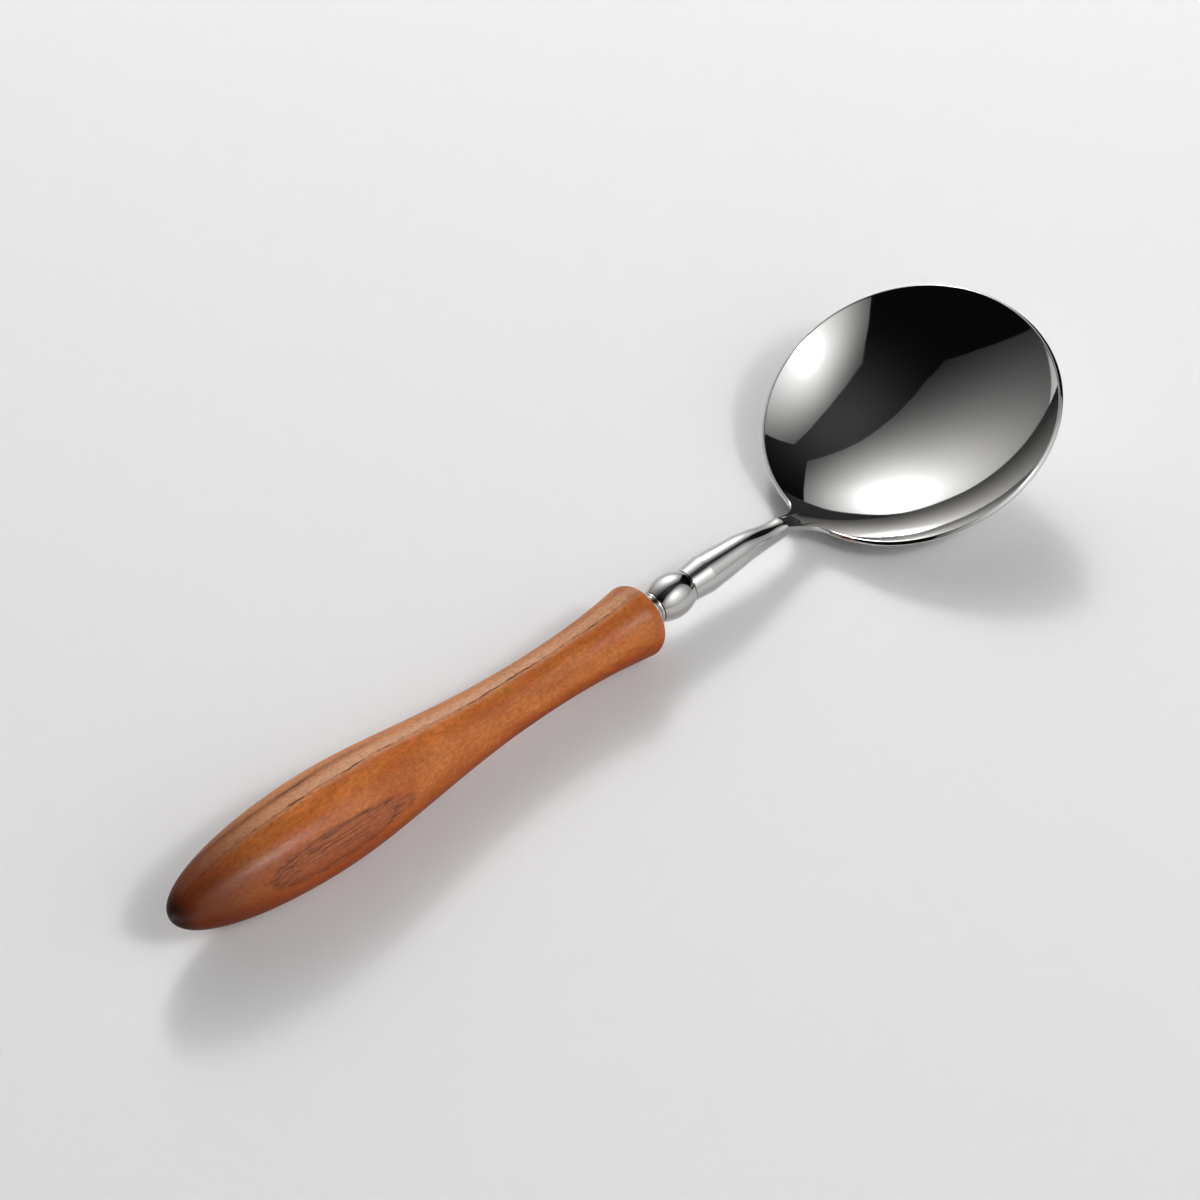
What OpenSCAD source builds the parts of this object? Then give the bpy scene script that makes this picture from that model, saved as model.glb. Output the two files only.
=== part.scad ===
// Serving spoon: a round polished bowl on a tapered shank, a turned bead and a turned wooden handle.
// It lies on a table as in use: +Z is up, +X runs from the butt of the handle to the tip of the bowl,
// and the origin is under the middle of the spoon. The bowl and the belly of the handle touch Z = 0.

/* [Bowl] */
// Outside diameter of the round rim
bowl_d = 72.4; // [64:0.2:80]
// Depth of the hollow below the rim
bowl_depth = 13; // [11:0.5:16]
// Thickness of the pressed steel
sheet_t = 1.2; // [0.9:0.1:1.6]
// Rise of the rim plane from heel to tip, in degrees
bowl_tilt = 20.7; // [18:0.1:24]
// How much fuller the rim is towards the tip, as a share of its radius
bowl_egg = 0.024; // [0:0.004:0.06]
// Size of the softened corners along the rim
rim_edge = 0.25; // [0.1:0.05:0.4]

/* [Heel of the bowl] */
// Width of the throat, where the bowl is welded to the shank
throat_w = 5.2; // [4:0.2:6]
// Height of the throat, measured square to the rim plane
throat_h = 5.8; // [5:0.2:7]
// Radius of the two curves that lead from the rim into the throat
heel_fillet = 6.4; // [5:0.2:8]
// Height of the middle of the throat above the rim plane
heel_rise = 5.7; // [5:0.1:6.4]

/* [Shank] */
// Length from the sharp shoulder to the throat
shank_len = 25.8; // [24:0.2:30]
// Diameter at the sharp shoulder
shank_d = 9.3; // [8.5:0.1:10.5]
// Length of the cone between the bead and the shoulder
cone_len = 5.6; // [3:0.2:7]
// Diameter of the cone where it meets the bead
cone_d = 8; // [7:0.2:8.4]
// Rise of the shank's axis towards the bowl, in degrees
stem_rise = 0.3; // [0:0.1:2]
// Height of the shank's axis above the handle's axis at the front face
stem_lift = 0.4; // [0:0.1:0.6]

/* [Bead, ring and washer] */
// Length of the bead
bead_len = 9.6; // [8:0.2:12]
// Diameter of the bead at its middle
bead_d = 10.5; // [9.5:0.1:12]
// Diameter of the bead at both ends
bead_end_d = 7.8; // [6.8:0.2:8.4]
// Thickness of the spacer ring
ring_t = 1; // [0.8:0.1:2]
// Diameter of the spacer ring
ring_d = 7.8; // [7:0.2:9]
// Thickness of the seat washer
washer_t = 2; // [1.4:0.2:3]
// Diameter of the seat washer
washer_d = 9; // [8:0.2:10]

/* [Tang] */
// Diameter of the tang
tang_d = 5; // [4:0.5:5.5]
// Depth of the tang in the handle
tang_depth = 62; // [50:1:75]
// Depth of the threaded socket in the shank
socket_depth = 9; // [6:0.5:11]
// Number of glue grooves round the tang
groove_count = 6; // [1:1:7]

/* [Handle] */
// Length of the wooden handle
handle_len = 136.4; // [120:0.2:150]
// Diameter of the belly, the thickest part
belly_d = 22.7; // [20:0.1:26]
// Distance of the belly from the front face
belly_pos = 95.2; // [85:0.2:102]
// Diameter of the waist, the thinnest part
waist_d = 13.7; // [12.5:0.1:16]
// Distance of the waist from the front face
waist_pos = 30.7; // [25:0.1:36]
// Diameter of the flare at the front end
flare_d = 17.5; // [16:0.1:20]
// Radius of the rounded front edge
front_round = 3.5; // [2:0.1:3.8]
// Fall of the handle's axis towards the bowl, in degrees
handle_fall = 1.6; // [0:0.1:2.4]

/* [Hidden] */
$fn = 96;

// Bowl: two concentric spheres, in a frame with u to the tip and w square to the rim. The pressed sheet is
// cut square along its edge, and at the heel it runs on over the same spheres as a tongue to the shank
rim_r = bowl_d / 2;
outer_depth = bowl_depth + sheet_t;
outer_r = (rim_r * rim_r + outer_depth * outer_depth) / (2 * outer_depth);
inner_r = outer_r - sheet_t;
cap_h = outer_r - outer_depth;
rim_z = outer_r - cap_h * cos(bowl_tilt);

// Heel: a fillet on each side, tangent to the rim circle and to the straight side of the throat
fillet_v = throat_w / 2 + heel_fillet;
throat_u = sqrt(pow(rim_r + heel_fillet, 2) - fillet_v * fillet_v);
fillet_start = atan2(fillet_v, throat_u);
tongue_top = dish(round_q(-throat_u, throat_w / 2), inner_r) - heel_rise;
tongue_bottom = dish(round_q(-throat_u, throat_w / 2), outer_r) - heel_rise;
throat_slope_top = 0.6;
throat_slope_bottom = 0.45;
blend_top = 5;
blend_bottom = 9;
ring_steps = 13;
rim_steps = 28;
fillet_steps = 8;
throat_steps = 6;

// Stem: the metal turned about one straight axis, with s = 0 at the handle's front face and +s to the bowl
bead_s = washer_t + ring_t;
cone_s = bead_s + bead_len;
shoulder_s = cone_s + cone_len;
throat_s = shoulder_s + shank_len;
turned_len = 0.42 * shank_len;
throat_x = -throat_u * cos(bowl_tilt) - heel_rise * sin(bowl_tilt);
throat_z = rim_z - throat_u * sin(bowl_tilt) + heel_rise * cos(bowl_tilt);
face_x = throat_x - throat_s;
// The leaning handle touches the table a little in front of its thickest place
belly_dip = pow(tan(handle_fall) * (belly_pos - waist_pos), 2) / (8.64 * (belly_d - waist_d));
face_z = belly_d / 2 + belly_dip - belly_pos * sin(handle_fall);
tip_x = rim_r * cos(bowl_tilt);
butt_x = face_x - handle_len * cos(handle_fall);
bowl_x = -(tip_x + butt_x) / 2;
neck_dip = 5;
neck_steps = 12;
neck_inset = 0.05;
bore_gap = 0.05;
glue_gap = 0.6;
glue_end = 2;
groove_depth = 0.4;
groove_pitch = 7;
profile_steps = 16;

function mix(a, b, t) = a + (b - a) * t;

// Cubic from a to b with the end slopes ma and mb, both per unit of t
function hermite(a, ma, b, mb, t) =
    a * (2 * pow(t, 3) - 3 * t * t + 1) + ma * (pow(t, 3) - 2 * t * t + t)
    + b * (3 * t * t - 2 * pow(t, 3)) + mb * (pow(t, 3) - t * t);

// A closed solid from rows of points, with one pole before the first row and one after the last
module row_solid(rows, first_pole, last_pole) {
    n = len(rows[0]);
    last = len(rows) - 1;
    points = concat([for (row = rows) each row], [first_pole, last_pole]);
    first = len(rows) * n;
    sides = [for (i = [0 : last - 1]) for (j = [0 : n - 1]) let (
        a = i * n + j, b = i * n + (j + 1) % n) each [[a, b, b + n], [a, b + n, a + n]]];
    ends = [for (j = [0 : n - 1]) let (k = (j + 1) % n) each [
        [first, k, j], [last * n + j, last * n + k, first + 1]]];
    polyhedron(points, concat(sides, ends));
}

// Height and slope of a bowl skin of radius r, at the distance q from the middle of the bowl
function dish(q, r) = cap_h - sqrt(r * r - q * q);
function dish_slope(q, r) = q / sqrt(r * r - q * q);

// Distance from the middle of the bowl, evened out so that the fuller tip's rim lies on the spheres too
function round_q(u, v) = norm([u, v]) - bowl_egg * u * v * v / (rim_r * rim_r);
function on_dish(u, v, r) = [u, v, dish(round_q(u, v), r)];

// The outer edge on each spoke of half the bowl: [u, v, share of the fillet, throat angle]
function rim_spoke(a) = let (r = rim_r * (1 + bowl_egg * cos(a) * pow(sin(a), 2)))
    [r * cos(a), r * sin(a), 0, 0];
function fillet_spoke(share) = let (a = -mix(fillet_start, 90, share))
    [-throat_u + heel_fillet * cos(a), fillet_v + heel_fillet * sin(a), share, 0];
function throat_spoke(a) = [-throat_u, throat_w / 2 * cos(a), 1, a];
half_spokes = concat(
    [for (i = [0 : rim_steps - 1]) rim_spoke((180 - fillet_start) * i / rim_steps)],
    [for (i = [0 : fillet_steps - 1]) fillet_spoke(i / fillet_steps)],
    [for (i = [0 : throat_steps]) throat_spoke(90 * i / throat_steps)]);
spokes = concat(half_spokes, [for (i = [len(half_spokes) - 2 : -1 : 1]) let (p = half_spokes[i])
    [p[0], -p[1], p[2], p[3]]]);

// Points of the edge: the square-cut corners, and the ends of the two skins beside the softened corners
function throat_point(p, side, h) = [p[0], p[1], heel_rise + mix(side, h, sin(p[3]))];
function sheet_point(p, inset, r) = let (s = 1 - inset * (1 - p[2])) on_dish(p[0] * s, p[1] * s, r);
function inner_edge(p, soft) = p[3] > 0 ? throat_point(p, tongue_top, throat_h / 2)
    : sheet_point(p, sheet_t / outer_r + soft / rim_r, inner_r);
function outer_edge(p, soft) = p[3] > 0 ? throat_point(p, tongue_bottom, -throat_h / 2)
    : sheet_point(p, soft / rim_r, outer_r);
function lip_point(p, share) = mix(outer_edge(p, 0), inner_edge(p, 0), share);

// A skin from the middle out to its edge: spherical, and led into the shank's height and slope at the throat
function skin_point(edge, share, r, run, slope, a) = let (
    q = round_q(edge[0], edge[1]),
    lift = edge[2] - dish(q, r),
    bend = (slope - dish_slope(q, r)) * run * sin(a),
    x = max(0, 1 - norm([edge[0], edge[1]]) * (1 - share) / run))
    on_dish(edge[0] * share, edge[1] * share, r) + [0, 0, pow(x, 3) * (4 * lift - bend + (bend - 3 * lift) * x)];
function top_row(share) = [for (p = spokes)
    skin_point(inner_edge(p, rim_edge), share, inner_r, blend_top, throat_slope_top, p[3])];
function under_row(share) = [for (p = spokes)
    skin_point(outer_edge(p, rim_edge), share, outer_r, blend_bottom, throat_slope_bottom, p[3])];

module bowl() {
    shares = [for (k = [1 : ring_steps]) 1 - pow(1 - k / ring_steps, 1.5)];
    top = [for (k = [0 : ring_steps - 1]) top_row(shares[k])];
    under = [for (k = [ring_steps - 1 : -1 : 0]) under_row(shares[k])];
    lip = [for (share = [0.75, 0.25]) [for (p = spokes) lip_point(p, share)]];
    color("silver") bowl_frame()
        row_solid(concat(top, lip, under), [0, 0, dish(0, inner_r)], [0, 0, dish(0, outer_r)]);
}

// The frames of the tilted bowl, the metal stem and the handle. At the front face of the wood the stem
// sits a little above the handle's axis, and the two lean slightly apart
module bowl_frame() {
    translate([bowl_x, 0, rim_z]) rotate([0, -bowl_tilt, 0]) children();
}

module stem_frame() {
    translate([bowl_x + face_x, 0, face_z + stem_lift]) rotate([0, 90 - stem_rise, 0]) children();
}

module handle_frame() {
    translate([bowl_x + face_x, 0, face_z]) rotate([0, 90 + handle_fall, 0]) children();
}

// A turned solid from its outline of [radius, s] points, closed along the axis
module turned(outline) {
    rotate_extrude() polygon(concat([[0, outline[0][1]]], outline, [[0, outline[len(outline) - 1][1]]]));
}

module rod(r, from, to) {
    translate([0, 0, from]) cylinder(r = r, h = to - from);
}

// Shank: an even taper, turned about the stem as far as the bend, then rings that turn into the throat
function shank_r(d) = mix(shank_d / 2, throat_w / 2, d / shank_len);
function stem_point(s) = [bowl_x + face_x + s * cos(stem_rise), face_z + stem_lift + s * sin(stem_rise)];
function neck_ring(t) = let (
    start = stem_point(shoulder_s + turned_len - 1),
    end = [bowl_x + throat_x, throat_z],
    reach = norm(end - start),
    x = hermite(start[0], reach * cos(stem_rise), end[0], reach * cos(neck_dip), t),
    z = hermite(start[1], reach * sin(stem_rise), end[1], -reach * sin(neck_dip), t),
    lean = mix(-stem_rise, -bowl_tilt, pow(t, 3)),
    r = mix(shank_r(turned_len - 1) - neck_inset, throat_w / 2, t),
    h = mix(r, throat_h / 2, pow(t, 3)),
    side_top = mix(0.1, tongue_top, pow(t, 3)),
    side_bottom = mix(-0.1, tongue_bottom, pow(t, 3)))
    [for (side = [1, -1]) for (i = [0 : 2 * throat_steps]) let (
        a = 90 * i / throat_steps,
        up = side > 0 ? mix(side_top, h, sin(a)) : mix(side_bottom, -h, sin(a)))
        [x + sin(lean) * up, side * r * cos(a), z + cos(lean) * up]];
function ring_middle(ring) = [for (k = [0 : 2])
    [for (p = ring) p[k]] * [for (p = ring) 1] / len(ring)];

module shank() {
    rings = [for (i = [neck_steps : -1 : 0]) neck_ring(i / neck_steps)];
    color("silver") difference() {
        union() {
            stem_frame() turned([[cone_d / 2, cone_s], [shank_d / 2, shoulder_s],
                [shank_r(turned_len), shoulder_s + turned_len]]);
            row_solid(rings, ring_middle(rings[0]), ring_middle(rings[neck_steps]));
        }
        stem_frame() rod(tang_d / 2, cone_s - 1, cone_s + socket_depth);
    }
}

// Bead: an arc from end to end, drilled for the tang
module bead() {
    bulge = (bead_d - bead_end_d) / 2;
    arc_r = (bead_len * bead_len / 4 + bulge * bulge) / (2 * bulge);
    half_turn = asin(bead_len / 2 / arc_r);
    arc = [for (i = [-profile_steps : profile_steps]) let (a = half_turn * i / profile_steps)
        [bead_d / 2 - arc_r * (1 - cos(a)), bead_s + bead_len / 2 + arc_r * sin(a)]];
    color("silver") stem_frame() difference() {
        turned(arc);
        rod(tang_d / 2 + bore_gap, bead_s - 1, cone_s + 1);
    }
}

// Spacer ring: a half-round edge between bead and washer
module spacer_ring() {
    edge = [for (i = [-4 : 4]) let (a = 22.5 * i)
        [ring_d / 2 - ring_t / 2 * (1 - cos(a)), washer_t + ring_t / 2 * (1 + sin(a))]];
    color("silver") stem_frame() difference() {
        turned(edge);
        rod(tang_d / 2 + bore_gap, 0, bead_s + 1);
    }
}

// Seat washer: the front edge is rounded, and the back is faced off to sit flat on the wood
module seat_washer() {
    round_r = washer_t / 2;
    edge = [for (i = [0 : 6]) let (a = 15 * i)
        [washer_d / 2 - round_r * (1 - cos(a)), washer_t - round_r * (1 - sin(a))]];
    color("silver") difference() {
        stem_frame() turned(concat([[washer_d / 2, -1]], edge));
        stem_frame() rod(tang_d / 2 + bore_gap, -2, washer_t + 1);
        handle_frame() rod(washer_d, -4, 0);
    }
}

// Tang: a stud from the shank's socket into the handle, with grooves that key it into the glue
module tang() {
    color("gray") stem_frame() difference() {
        rod(tang_d / 2, -tang_depth, cone_s + socket_depth - 0.2);
        for (i = [1 : groove_count]) translate([0, 0, -i * groove_pitch])
            rotate_extrude() translate([tang_d / 2, 0]) circle(r = groove_depth, $fn = 32);
    }
}

// Adhesive: what fills the drilled handle round the tang
module tang_adhesive() {
    color("goldenrod") difference() {
        stem_frame() rod(tang_d / 2 + glue_gap, -tang_depth - glue_end, -0.5);
        tang();
    }
}

// Handle: radius by distance from the front face, as flare, waist, belly and butt
function flare_curve(t) = hermite(flare_d / 2, -0.15 * (waist_pos - front_round), waist_d / 2, 0, t);
function belly_curve(t) = hermite(waist_d / 2, 0, belly_d / 2, 0, pow(t, 1.2));
function butt_curve(t) = belly_d / 2 * pow(1 - t * t, 0.465);

module handle() {
    front = [for (i = [0 : 8]) let (a = 90 * i / 8)
        [flare_d / 2 - front_round * (1 - sin(a)), -front_round * (1 - cos(a))]];
    flare = [for (i = [1 : profile_steps]) let (t = i / profile_steps)
        [flare_curve(t), -mix(front_round, waist_pos, t)]];
    belly = [for (i = [1 : profile_steps]) let (t = i / profile_steps)
        [belly_curve(t), -mix(waist_pos, belly_pos, t)]];
    butt = [for (i = [1 : profile_steps - 1]) let (t = sin(90 * i / profile_steps))
        [butt_curve(t), -mix(belly_pos, handle_len, t)]];
    color("sienna") difference() {
        handle_frame() rotate_extrude()
            polygon(concat([[0, 0]], front, flare, belly, butt, [[0, -handle_len]]));
        stem_frame() rod(tang_d / 2 + glue_gap, -tang_depth - glue_end, 1);
    }
}

bowl();
shank();
bead();
spacer_ring();
seat_washer();
tang();
tang_adhesive();
handle();
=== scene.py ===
"""Serving spoon: polished steel bowl, shank, bead, ring and washer, and a turned wooden handle.

The shapes follow the CAD model's formulas with finer steps, apart from a slightly slimmer throat and a
softer run of the bowl into it. Lengths in the formulas are millimetres, and every mesh is written in
metres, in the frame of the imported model.
"""

import math

import bpy
import numpy as np
from mathutils import Matrix, Vector


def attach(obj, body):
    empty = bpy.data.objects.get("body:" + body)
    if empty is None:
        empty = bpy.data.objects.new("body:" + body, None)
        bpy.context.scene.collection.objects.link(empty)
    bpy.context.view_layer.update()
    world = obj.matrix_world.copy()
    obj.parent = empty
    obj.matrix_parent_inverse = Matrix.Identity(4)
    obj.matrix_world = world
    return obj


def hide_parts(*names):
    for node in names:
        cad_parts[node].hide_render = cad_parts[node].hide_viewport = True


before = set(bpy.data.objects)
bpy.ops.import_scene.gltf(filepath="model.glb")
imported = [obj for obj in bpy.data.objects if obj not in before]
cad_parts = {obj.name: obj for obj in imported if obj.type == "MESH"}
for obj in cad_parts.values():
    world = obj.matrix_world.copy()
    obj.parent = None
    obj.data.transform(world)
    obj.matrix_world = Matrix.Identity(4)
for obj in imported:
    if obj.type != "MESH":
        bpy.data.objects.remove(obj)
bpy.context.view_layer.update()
MM = 0.001

# Bowl
RIM_R = 36.2
BOWL_DEPTH = 13.0
SHEET_T = 1.2
TILT = math.radians(20.7)
EGG = 0.024
OUTER_DEPTH = BOWL_DEPTH + SHEET_T
OUTER_R = (RIM_R**2 + OUTER_DEPTH**2) / (2 * OUTER_DEPTH)
INNER_R = OUTER_R - SHEET_T
CAP_H = OUTER_R - OUTER_DEPTH
RIM_Z = OUTER_R - CAP_H * math.cos(TILT)

# Heel: two fillets lead from the rim to the throat, where the bowl is welded to the shank
THROAT_W = 4.4
THROAT_H = 5.8
FILLET = 6.4
HEEL_RISE = 5.7
FILLET_V = THROAT_W / 2 + FILLET
THROAT_U = math.sqrt((RIM_R + FILLET) ** 2 - FILLET_V**2)
FILLET_START = math.atan2(FILLET_V, THROAT_U)
# Length over which each skin of the bowl turns into the shank
BLEND_TOP = 5.0
BLEND_UNDER = 9.0
# How far the top and the underside are worn into the sheet where it runs into the shank, as heights
WORN_TOP = -0.35
WORN_UNDER = 0.6

# Stem: shank, bead, ring and washer, placed by their distance from the handle's front face
SHANK_LEN = 25.8
SHANK_D = 9.3
# Diameter that the straight taper would have at the throat
SHANK_END_D = 5.2
CONE_LEN = 5.6
CONE_D = 8.0
STEM_RISE = math.radians(0.3)
STEM_LIFT = 0.4
BEAD_LEN = 9.6
BEAD_D = 10.5
BEAD_END_D = 7.8
RING_T = 1.0
RING_D = 7.8
WASHER_T = 2.0
WASHER_D = 9.0
TANG_R = 2.55
BEAD_S = WASHER_T + RING_T
CONE_S = BEAD_S + BEAD_LEN
SHOULDER_S = CONE_S + CONE_LEN
THROAT_S = SHOULDER_S + SHANK_LEN
# The back of the shank is straight. Its front bends down to the throat, with a small hump just before it
TURNED_LEN = 0.42 * SHANK_LEN
NECK_DIP = math.radians(5)
NECK_HUMP = 0.24

# Handle: a turned profile, measured from its front face
HANDLE_LEN = 136.4
BELLY_D = 22.7
BELLY_POS = 95.2
WAIST_D = 13.7
WAIST_POS = 30.7
FLARE_D = 17.5
FRONT_ROUND = 3.5
HANDLE_FALL = math.radians(1.6)
# How steeply the flare starts, and the powers that shape the curves of belly and butt
FLARE_FALL = 0.15
BELLY_POWER = 1.2
BUTT_POWER = 0.465
# The leaning handle touches the table a little in front of its thickest place
BELLY_BEND = 6 * BELLY_POWER**2 * (BELLY_D - WAIST_D)
BELLY_DIP = (math.tan(HANDLE_FALL) * (BELLY_POS - WAIST_POS)) ** 2 / BELLY_BEND

# Places of the throat and the handle's front face, and of the bowl, which centres the spoon on the origin
THROAT_X = -THROAT_U * math.cos(TILT) - HEEL_RISE * math.sin(TILT)
THROAT_Z = RIM_Z - THROAT_U * math.sin(TILT) + HEEL_RISE * math.cos(TILT)
FACE_X = THROAT_X - THROAT_S
FACE_Z = BELLY_D / 2 + BELLY_DIP - BELLY_POS * math.sin(HANDLE_FALL)
BOWL_X = -(RIM_R * math.cos(TILT) + FACE_X - HANDLE_LEN * math.cos(HANDLE_FALL)) / 2


def mix(a, b, t):
    return a + (b - a) * t


def hermite(a, ma, b, mb, t):
    """A cubic from a to b at the share t, with the slopes ma and mb at its ends."""
    return (
        a * (2 * t**3 - 3 * t * t + 1)
        + ma * (t**3 - 2 * t * t + t)
        + b * (3 * t * t - 2 * t**3)
        + mb * (t**3 - t * t)
    )


def bowl_to_part(p):
    """Points in the bowl's tilted frame, moved to the part's frame."""
    p = np.asarray(p, float)
    c, s = math.cos(TILT), math.sin(TILT)
    x = BOWL_X + p[..., 0] * c - p[..., 2] * s
    z = RIM_Z + p[..., 0] * s + p[..., 2] * c
    return np.stack([x, p[..., 1], z], -1)


def axis_to_part(radius, along, angle, lift, slope):
    """Points turned about an axis that starts at the handle's front face. Along runs to the bowl."""
    up = radius * np.sin(angle)
    side = radius * np.cos(angle)
    c, s = math.cos(slope), math.sin(slope)
    x = BOWL_X + FACE_X + along * c - up * s
    z = FACE_Z + lift + along * s + up * c
    return np.stack([x, side, z], -1)


def make_piece(name, points, faces, material, node, sharp=35):
    """A smooth mesh in metres that stands for a CAD node and rides on the part's one body."""
    mesh = bpy.data.meshes.new(name)
    mesh.from_pydata([tuple(p) for p in np.asarray(points) * MM], [], faces)
    mesh.validate()
    mesh.polygons.foreach_set("use_smooth", [True] * len(mesh.polygons))
    mesh.set_sharp_from_angle(angle=math.radians(sharp))
    mesh.materials.append(material)
    piece = bpy.data.objects.new(name, mesh)
    bpy.context.scene.collection.objects.link(piece)
    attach(piece, "root")
    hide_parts(node)
    return piece


def grid_faces(rows, columns, closed_rows=False):
    """Faces of a grid of points whose columns go all the way round."""
    faces = []
    last = rows if closed_rows else rows - 1
    for i in range(last):
        for j in range(columns):
            a = i * columns + j
            b = i * columns + (j + 1) % columns
            c = ((i + 1) % rows) * columns + (j + 1) % columns
            d = ((i + 1) % rows) * columns + j
            faces.append((a, b, c, d))
    return faces


def turned_piece(name, outline, material, node, lift, slope, closed, sharp=35, turns=192):
    """A turned piece from its outline of radius and along, closed in a ring or by poles on the axis."""
    outline = np.array(outline, float)
    angle = np.linspace(0, 2 * math.pi, turns, endpoint=False)
    points = axis_to_part(outline[:, None, 0], outline[:, None, 1], angle[None, :], lift, slope)
    points = points.reshape(-1, 3)
    faces = grid_faces(len(outline), turns, closed)
    if not closed:
        first = len(points)
        ends = axis_to_part(np.zeros(2), outline[[0, -1], 1], np.zeros(2), lift, slope)
        points = np.concatenate([points, ends])
        start = (len(outline) - 1) * turns
        for j in range(turns):
            faces.append((first, (j + 1) % turns, j))
            faces.append((first + 1, start + j, start + (j + 1) % turns))
    return make_piece(name, points, faces, material, node, sharp)


def rounded(corners, radii, steps=6):
    """An outline with each inner corner replaced by a small curve of the given size."""
    corners = [np.array(c, float) for c in corners]
    out = [corners[0]]
    for i in range(1, len(corners) - 1):
        r = radii[i - 1]
        back = corners[i - 1] - corners[i]
        on = corners[i + 1] - corners[i]
        a = corners[i] + back / np.linalg.norm(back) * r
        b = corners[i] + on / np.linalg.norm(on) * r
        for k in range(steps + 1):
            t = k / steps
            out.append((1 - t) ** 2 * a + 2 * t * (1 - t) * corners[i] + t * t * b)
    out.append(corners[-1])
    return out


# Node helpers


def add(tree, kind, values=None, **settings):
    """A node with its settings and inputs. An input is a value, or the output of another node."""
    made = tree.nodes.new(kind)
    for key, value in settings.items():
        setattr(made, key, value)
    for key, value in (values or {}).items():
        if isinstance(value, bpy.types.NodeSocket):
            tree.links.new(value, made.inputs[key])
        else:
            made.inputs[key].default_value = value
    return made


def calc(tree, operation, a, b=0.0, c=0.0):
    return add(tree, "ShaderNodeMath", {0: a, 1: b, 2: c}, operation=operation).outputs[0]


def ramp_between(tree, value, low, high, to_low=0.0, to_high=1.0):
    """A smooth step of a value from low to high."""
    made = add(
        tree,
        "ShaderNodeMapRange",
        {"Value": value, "From Min": low, "From Max": high, "To Min": to_low, "To Max": to_high},
        interpolation_type="SMOOTHSTEP",
    )
    return made.outputs["Result"]


def blend_colour(tree, share, a, b):
    """Colour a, turning into colour b with the share."""
    return add(tree, "ShaderNodeMix", {0: share, 6: a, 7: b}, data_type="RGBA").outputs[2]


def dot(tree, a, b):
    return add(tree, "ShaderNodeVectorMath", {0: a, 1: b}, operation="DOT_PRODUCT").outputs["Value"]


def long_side(tree, a, b):
    """Length of the long side of a right-angled triangle with the sides a and b."""
    return calc(tree, "SQRT", calc(tree, "MULTIPLY_ADD", a, a, calc(tree, "MULTIPLY", b, b)))


def noise(tree, place, lengths, detail=2.0, rough=0.5):
    """Noise at a place in millimetres, with marks of the given lengths along its three axes."""
    shares = tuple(1 / length for length in lengths)
    scaled = add(tree, "ShaderNodeVectorMath", {0: place, 1: shares}, operation="MULTIPLY").outputs[0]
    values = {"Vector": scaled, "Scale": 1.0, "Detail": detail, "Roughness": rough}
    return add(tree, "ShaderNodeTexNoise", values).outputs["Fac"]


def bell(tree, value, middle, width):
    """One at the middle, falling to nothing over about twice the width on either side."""
    off = calc(tree, "DIVIDE", calc(tree, "SUBTRACT", value, middle), width)
    return calc(tree, "EXPONENT", calc(tree, "MULTIPLY", calc(tree, "MULTIPLY", off, off), -1.0))


def new_material(name):
    """A material with its node tree and its one shader."""
    material = bpy.data.materials.new(name)
    material.use_nodes = True
    tree = material.node_tree
    tree.nodes.clear()
    out = add(tree, "ShaderNodeOutputMaterial")
    shader = add(tree, "ShaderNodeBsdfPrincipled")
    tree.links.new(shader.outputs[0], out.inputs[0])
    return material, tree, shader


def part_millimetres(tree):
    """The place on the part in millimetres, in the part's own frame."""
    place = add(tree, "ShaderNodeTexCoord").outputs["Object"]
    return add(tree, "ShaderNodeVectorMath", {0: place, "Scale": 1 / MM}, operation="SCALE").outputs[0]


# Steel: the colours that its haze runs between, and the height of its waves in metres
STEEL_DARK = (0.545, 0.54, 0.53, 1)
STEEL_PALE = (0.575, 0.567, 0.555, 1)
STEEL_WAVE = 0.00006


def steel_material(name):
    """Mirror-polished stainless steel with faint haze, buffing marks and a slight waviness."""
    material, tree, shader = new_material(name)
    place = part_millimetres(tree)
    shader.inputs["Metallic"].default_value = 1.0
    haze = noise(tree, place, (16, 16, 16), 3.0, 0.6)
    marks = noise(tree, place, (3.0, 0.12, 0.25), 2.0, 0.6)
    rough = calc(tree, "MULTIPLY_ADD", marks, 0.02, ramp_between(tree, haze, 0.35, 0.75, 0.02, 0.05))
    tree.links.new(rough, shader.inputs["Roughness"])
    tone = blend_colour(tree, haze, STEEL_DARK, STEEL_PALE)
    tree.links.new(tone, shader.inputs["Base Color"])
    wave = noise(tree, place, (12, 12, 12), 1.0, 0.3)
    height = calc(tree, "MULTIPLY_ADD", marks, 0.004, wave)
    bump = add(tree, "ShaderNodeBump", {"Strength": 1.0, "Distance": STEEL_WAVE, "Height": height})
    tree.links.new(bump.outputs[0], shader.inputs["Normal"])
    return material


# Wood: the heart of the tree lies outside the handle, on its right side and a little above its axis
PITH_SIDE = -25.0
PITH_UP = 9.0
# Porous rings: distance from the heart, width of the band, and how dense its pores are
LINE_RING = 25.0
RINGS = ((LINE_RING, 0.28, 1.0), (33.4, 0.4, 0.6), (37.0, 0.9, 0.8))
# A ring whose streak shows on the belly, and an inner ring that the belly cuts into
STREAK_RING = 29.4
PATCH_RING = 16.5
# How far the rings waver over a long and over a short stretch
RING_WANDER = 2.2
RING_FLUTTER = 0.5
# Distances from the heart where blotches and the pale strip start, and where the strip fades. The pale
# strip is partly the wood's lighter ring and partly painted sheen.
BLOTCH_FROM = (19.0, 22.5)
STRIP_FROM = (23.4, 25.5)
STRIP_FADE = (27.0, 28.8)
# Distances from the front face where the streak starts, and where the ends turn redder and darker. At the
# butt this is partly stain in the end grain and partly painted shade.
STREAK_FROM = (70.0, 92.0)
FRONT_REDDENING = (1.0, 11.0)
FRONT_BLACK = (0.2, 1.2)
BUTT_STAIN_AND_SHADE = (102.0, 137.0)
BUTT_BLACK_STAIN_AND_SHADE = (133.5, 138.3)
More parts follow.
